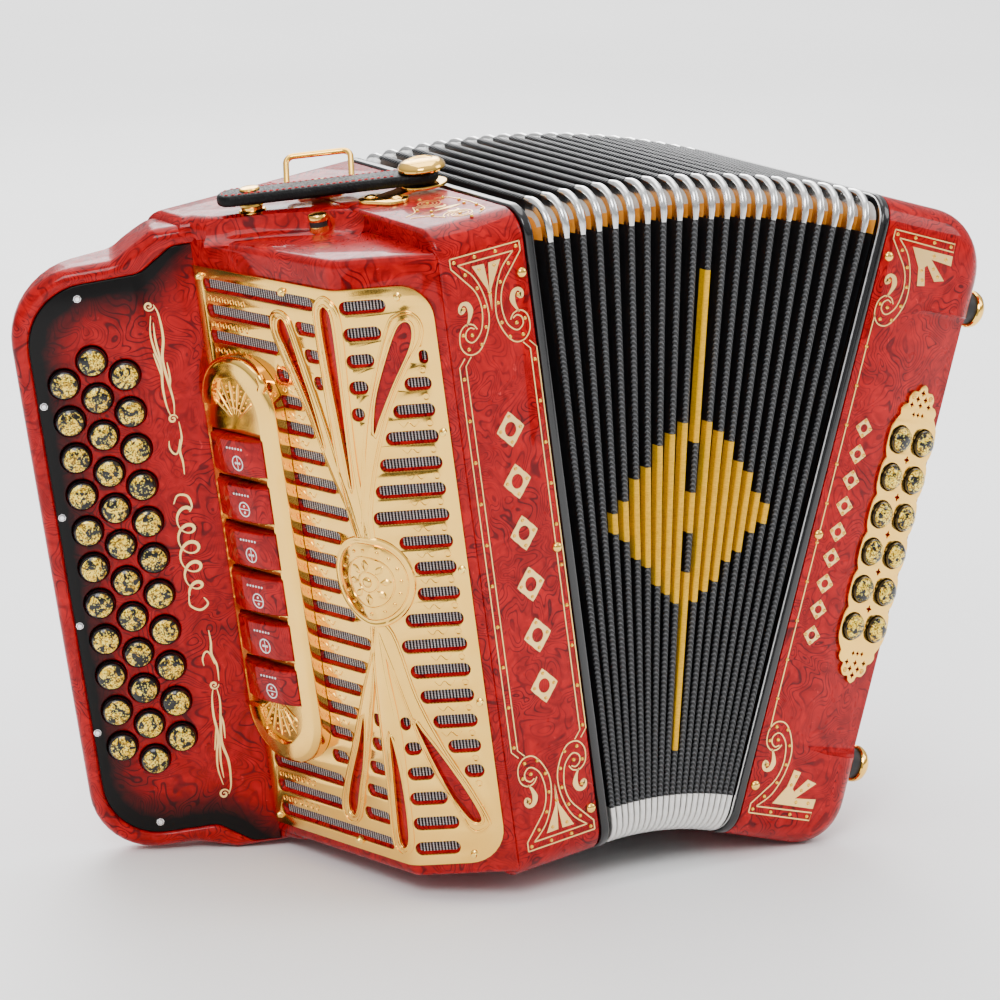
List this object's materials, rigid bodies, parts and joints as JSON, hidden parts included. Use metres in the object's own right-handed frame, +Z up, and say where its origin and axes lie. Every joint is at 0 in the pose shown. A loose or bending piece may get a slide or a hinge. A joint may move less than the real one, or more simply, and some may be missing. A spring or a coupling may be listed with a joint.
{
  "type": "button accordion",
  "caption": "Button accordion with fanned bellows, a slotted grille, register switches, bass buttons and a hand strap, standing on the lower edges of its two sides.",
  "frame": {"origin": "centre of the bounding box at its bottom, on the floor it stands on", "axes": "+X from the treble side to the bass side, +Y from the front to the back, +Z up"},
  "size_m": [0.4574, 0.1822, 0.3487],
  "materials": {
    "red_pearloid": "glossy red pearloid celluloid",
    "gold_plate": "polished gold plate",
    "button_black": "glossy black with gold flakes",
    "frame_black": "black lacquer",
    "bellows_cloth": "black twill over card, orange leather in the valleys",
    "black_leather": "black leather, red stitching",
    "foot_rubber": "black rubber under a gold cap",
    "grille_mesh": "silver and black woven mesh",
    "spruce": "bare wood",
    "pallet_felt": "felt"
  },
  "bodies": {
    "treble": {"treble_casing": "red_pearloid", "treble_bellows_frame": "frame_black", "fingerboard_plate": "red_pearloid", "treble_pallet_board": "spruce", "treble_pallet_action": "pallet_felt", "treble_reed_blocks": "spruce", "grille_cover": "red_pearloid", "grille_cloth": "grille_mesh", "grille_plate": "gold_plate", "register_housing": "gold_plate", "strap_bracket": "gold_plate", "strap_stud": "gold_plate", "cover_stop": "gold_plate", "ring_lug": "gold_plate"},
    "bass": {"bass_casing": "red_pearloid", "bass_bellows_frame": "frame_black", "bass_button_plate": "gold_plate", "bass_end_plate": "red_pearloid", "bass_foot_lower_front": "foot_rubber", "bass_foot_lower_back": "foot_rubber", "bass_foot_upper_front": "foot_rubber", "bass_foot_upper_back": "foot_rubber", "bass_reed_blocks": "spruce", "hand_strap": "black_leather"},
    "fold_01": {"bellows_fold_01": "bellows_cloth"},
    "fold_02": {"bellows_fold_02": "bellows_cloth"},
    "fold_03": {"bellows_fold_03": "bellows_cloth"},
    "fold_04": {"bellows_fold_04": "bellows_cloth"},
    "fold_05": {"bellows_fold_05": "bellows_cloth"},
    "fold_06": {"bellows_fold_06": "bellows_cloth"},
    "fold_07": {"bellows_fold_07": "bellows_cloth"},
    "fold_08": {"bellows_fold_08": "bellows_cloth"},
    "fold_09": {"bellows_fold_09": "bellows_cloth"},
    "fold_10": {"bellows_fold_10": "bellows_cloth"},
    "fold_11": {"bellows_fold_11": "bellows_cloth"},
    "fold_12": {"bellows_fold_12": "bellows_cloth"},
    "fold_13": {"bellows_fold_13": "bellows_cloth"},
    "fold_14": {"bellows_fold_14": "bellows_cloth"},
    "fold_15": {"bellows_fold_15": "bellows_cloth"},
    "fold_16": {"bellows_fold_16": "bellows_cloth"},
    "fold_17": {"bellows_fold_17": "bellows_cloth"},
    "fold_18": {"bellows_fold_18": "bellows_cloth"},
    "fold_19": {"bellows_fold_19": "bellows_cloth"},
    "fold_20": {"bellows_fold_20": "bellows_cloth"},
    "fold_21": {"bellows_fold_21": "bellows_cloth"},
    "treble_inner_row": {"treble_buttons_inner_row": "button_black"},
    "treble_middle_row": {"treble_buttons_middle_row": "button_black"},
    "treble_outer_row": {"treble_buttons_outer_row": "button_black"},
    "bass_inner_column": {"bass_buttons_inner_column": "button_black"},
    "bass_outer_column": {"bass_buttons_outer_column": "button_black"},
    "switch_1": {"register_switch_1": "red_pearloid"},
    "switch_2": {"register_switch_2": "red_pearloid"},
    "switch_3": {"register_switch_3": "red_pearloid"},
    "switch_4": {"register_switch_4": "red_pearloid"},
    "switch_5": {"register_switch_5": "red_pearloid"},
    "switch_6": {"register_switch_6": "red_pearloid"},
    "strap": {"bellows_strap": "black_leather"},
    "ring": {"shoulder_ring": "gold_plate"},
    "air_button": {"air_button": "button_black"},
    "air_valve": {"air_valve": "pallet_felt"}
  },
  "joints": [
    {"name": "bellows_fan", "type": "hinge", "parent": "treble", "child": "bass", "pos_m": [0.03271, -0.0017, 0.01872], "axis": [0, 1, 0], "range_deg": [-20.5, 14]},
    {"name": "fold_01_hinge", "type": "hinge", "parent": "treble", "child": "fold_01", "pos_m": [0.00193, -0.0017, 0.01837], "axis": [0, 1, 0], "range_deg": [-0.95, 0.65]},
    {"name": "fold_02_hinge", "type": "hinge", "parent": "fold_01", "child": "fold_02", "pos_m": [0.00491, -0.0017, 0.01875], "axis": [0, 1, 0], "range_deg": [-0.95, 0.65]},
    {"name": "fold_03_hinge", "type": "hinge", "parent": "fold_02", "child": "fold_03", "pos_m": [0.00789, -0.0017, 0.01907], "axis": [0, 1, 0], "range_deg": [-0.95, 0.65]},
    {"name": "fold_04_hinge", "type": "hinge", "parent": "fold_03", "child": "fold_04", "pos_m": [0.01088, -0.0017, 0.01934], "axis": [0, 1, 0], "range_deg": [-0.95, 0.65]},
    {"name": "fold_05_hinge", "type": "hinge", "parent": "fold_04", "child": "fold_05", "pos_m": [0.01387, -0.0017, 0.01954], "axis": [0, 1, 0], "range_deg": [-0.95, 0.65]},
    {"name": "fold_06_hinge", "type": "hinge", "parent": "fold_05", "child": "fold_06", "pos_m": [0.01687, -0.0017, 0.01969], "axis": [0, 1, 0], "range_deg": [-0.95, 0.65]},
    {"name": "fold_07_hinge", "type": "hinge", "parent": "fold_06", "child": "fold_07", "pos_m": [0.01987, -0.0017, 0.01978], "axis": [0, 1, 0], "range_deg": [-0.95, 0.65]},
    {"name": "fold_08_hinge", "type": "hinge", "parent": "fold_07", "child": "fold_08", "pos_m": [0.02286, -0.0017, 0.01982], "axis": [0, 1, 0], "range_deg": [-0.95, 0.65]},
    {"name": "fold_09_hinge", "type": "hinge", "parent": "fold_08", "child": "fold_09", "pos_m": [0.02586, -0.0017, 0.01979], "axis": [0, 1, 0], "range_deg": [-0.95, 0.65]},
    {"name": "fold_10_hinge", "type": "hinge", "parent": "fold_09", "child": "fold_10", "pos_m": [0.02886, -0.0017, 0.01971], "axis": [0, 1, 0], "range_deg": [-0.95, 0.65]},
    {"name": "fold_11_hinge", "type": "hinge", "parent": "fold_10", "child": "fold_11", "pos_m": [0.03186, -0.0017, 0.01956], "axis": [0, 1, 0], "range_deg": [-0.95, 0.65]},
    {"name": "fold_12_hinge", "type": "hinge", "parent": "fold_11", "child": "fold_12", "pos_m": [0.03485, -0.0017, 0.01936], "axis": [0, 1, 0], "range_deg": [-0.95, 0.65]},
    {"name": "fold_13_hinge", "type": "hinge", "parent": "fold_12", "child": "fold_13", "pos_m": [0.03784, -0.0017, 0.0191], "axis": [0, 1, 0], "range_deg": [-0.95, 0.65]},
    {"name": "fold_14_hinge", "type": "hinge", "parent": "fold_13", "child": "fold_14", "pos_m": [0.04083, -0.0017, 0.01878], "axis": [0, 1, 0], "range_deg": [-0.95, 0.65]},
    {"name": "fold_15_hinge", "type": "hinge", "parent": "fold_14", "child": "fold_15", "pos_m": [0.0438, -0.0017, 0.01841], "axis": [0, 1, 0], "range_deg": [-0.95, 0.65]},
    {"name": "fold_16_hinge", "type": "hinge", "parent": "fold_15", "child": "fold_16", "pos_m": [0.04677, -0.0017, 0.01798], "axis": [0, 1, 0], "range_deg": [-0.95, 0.65]},
    {"name": "fold_17_hinge", "type": "hinge", "parent": "fold_16", "child": "fold_17", "pos_m": [0.04973, -0.0017, 0.01749], "axis": [0, 1, 0], "range_deg": [-0.95, 0.65]},
    {"name": "fold_18_hinge", "type": "hinge", "parent": "fold_17", "child": "fold_18", "pos_m": [0.05268, -0.0017, 0.01694], "axis": [0, 1, 0], "range_deg": [-0.95, 0.65]},
    {"name": "fold_19_hinge", "type": "hinge", "parent": "fold_18", "child": "fold_19", "pos_m": [0.05562, -0.0017, 0.01633], "axis": [0, 1, 0], "range_deg": [-0.95, 0.65]},
    {"name": "fold_20_hinge", "type": "hinge", "parent": "fold_19", "child": "fold_20", "pos_m": [0.05854, -0.0017, 0.01567], "axis": [0, 1, 0], "range_deg": [-0.95, 0.65]},
    {"name": "fold_21_hinge", "type": "hinge", "parent": "fold_20", "child": "fold_21", "pos_m": [0.06146, -0.0017, 0.01495], "axis": [0, 1, 0], "range_deg": [-0.95, 0.65]},
    {"name": "inner_row_press", "type": "slide", "parent": "treble", "child": "treble_inner_row", "axis": [0.4024, 0.9135, 0.0595], "range_m": [0, 0.003], "stiffness_N_per_m": 220, "springref_m": -0.003},
    {"name": "middle_row_press", "type": "slide", "parent": "treble", "child": "treble_middle_row", "axis": [0.4024, 0.9135, 0.0595], "range_m": [0, 0.003], "stiffness_N_per_m": 220, "springref_m": -0.003},
    {"name": "outer_row_press", "type": "slide", "parent": "treble", "child": "treble_outer_row", "axis": [0.4024, 0.9135, 0.0595], "range_m": [0, 0.003], "stiffness_N_per_m": 220, "springref_m": -0.003},
    {"name": "bass_inner_column_press", "type": "slide", "parent": "bass", "child": "bass_inner_column", "axis": [-0.2303, 0.9708, 0.0665], "range_m": [0, 0.003], "stiffness_N_per_m": 220, "springref_m": -0.003},
    {"name": "bass_outer_column_press", "type": "slide", "parent": "bass", "child": "bass_outer_column", "axis": [-0.2303, 0.9708, 0.0665], "range_m": [0, 0.003], "stiffness_N_per_m": 220, "springref_m": -0.003},
    {"name": "register_1_rock", "type": "hinge", "parent": "treble", "child": "switch_1", "pos_m": [-0.1384, 0.02083, 0.2086], "axis": [-0.1462, 0, 0.9893], "range_deg": [-5, 5]},
    {"name": "register_2_rock", "type": "hinge", "parent": "treble", "child": "switch_2", "pos_m": [-0.13502, 0.02083, 0.18575], "axis": [-0.1462, 0, 0.9893], "range_deg": [-5, 5]},
    {"name": "register_3_rock", "type": "hinge", "parent": "treble", "child": "switch_3", "pos_m": [-0.13165, 0.02083, 0.1629], "axis": [-0.1462, 0, 0.9893], "range_deg": [-5, 5]},
    {"name": "register_4_rock", "type": "hinge", "parent": "treble", "child": "switch_4", "pos_m": [-0.12827, 0.02083, 0.14005], "axis": [-0.1462, 0, 0.9893], "range_deg": [-5, 5]},
    {"name": "register_5_rock", "type": "hinge", "parent": "treble", "child": "switch_5", "pos_m": [-0.12489, 0.02083, 0.11719], "axis": [-0.1462, 0, 0.9893], "range_deg": [-5, 5]},
    {"name": "register_6_rock", "type": "hinge", "parent": "treble", "child": "switch_6", "pos_m": [-0.12152, 0.02083, 0.09434], "axis": [-0.1462, 0, 0.9893], "range_deg": [-5, 5]},
    {"name": "bellows_strap_swing", "type": "hinge", "parent": "treble", "child": "strap", "pos_m": [-0.05977, -0.0137, 0.33677], "axis": [-0.1462, 0, 0.9893], "range_deg": [0, 5]},
    {"name": "shoulder_ring_swing", "type": "hinge", "parent": "treble", "child": "ring", "pos_m": [-0.0944, 0.0248, 0.33165], "axis": [0.828, -0.5472, 0.1223], "range_deg": [-41, 71]},
    {"name": "air_button_press", "type": "slide", "parent": "bass", "child": "air_button", "axis": [-0.9608, 0, 0.2772], "range_m": [0, 0.005], "stiffness_N_per_m": 200, "springref_m": -0.003},
    {"name": "air_valve_lift", "type": "slide", "parent": "bass", "child": "air_valve", "axis": [0.9608, 0, -0.2772], "range_m": [0, 0.0041]}
  ],
  "couplings": [
    {"joint": "fold_01_hinge", "follows": "bellows_fan", "ratio": 0.045455},
    {"joint": "fold_02_hinge", "follows": "bellows_fan", "ratio": 0.045455},
    {"joint": "fold_03_hinge", "follows": "bellows_fan", "ratio": 0.045455},
    {"joint": "fold_04_hinge", "follows": "bellows_fan", "ratio": 0.045455},
    {"joint": "fold_05_hinge", "follows": "bellows_fan", "ratio": 0.045455},
    {"joint": "fold_06_hinge", "follows": "bellows_fan", "ratio": 0.045455},
    {"joint": "fold_07_hinge", "follows": "bellows_fan", "ratio": 0.045455},
    {"joint": "fold_08_hinge", "follows": "bellows_fan", "ratio": 0.045455},
    {"joint": "fold_09_hinge", "follows": "bellows_fan", "ratio": 0.045455},
    {"joint": "fold_10_hinge", "follows": "bellows_fan", "ratio": 0.045455},
    {"joint": "fold_11_hinge", "follows": "bellows_fan", "ratio": 0.045455},
    {"joint": "fold_12_hinge", "follows": "bellows_fan", "ratio": 0.045455},
    {"joint": "fold_13_hinge", "follows": "bellows_fan", "ratio": 0.045455},
    {"joint": "fold_14_hinge", "follows": "bellows_fan", "ratio": 0.045455},
    {"joint": "fold_15_hinge", "follows": "bellows_fan", "ratio": 0.045455},
    {"joint": "fold_16_hinge", "follows": "bellows_fan", "ratio": 0.045455},
    {"joint": "fold_17_hinge", "follows": "bellows_fan", "ratio": 0.045455},
    {"joint": "fold_18_hinge", "follows": "bellows_fan", "ratio": 0.045455},
    {"joint": "fold_19_hinge", "follows": "bellows_fan", "ratio": 0.045455},
    {"joint": "fold_20_hinge", "follows": "bellows_fan", "ratio": 0.045455},
    {"joint": "fold_21_hinge", "follows": "bellows_fan", "ratio": 0.045455},
    {"joint": "air_valve_lift", "follows": "air_button_press", "ratio": 0.8}
  ]
}
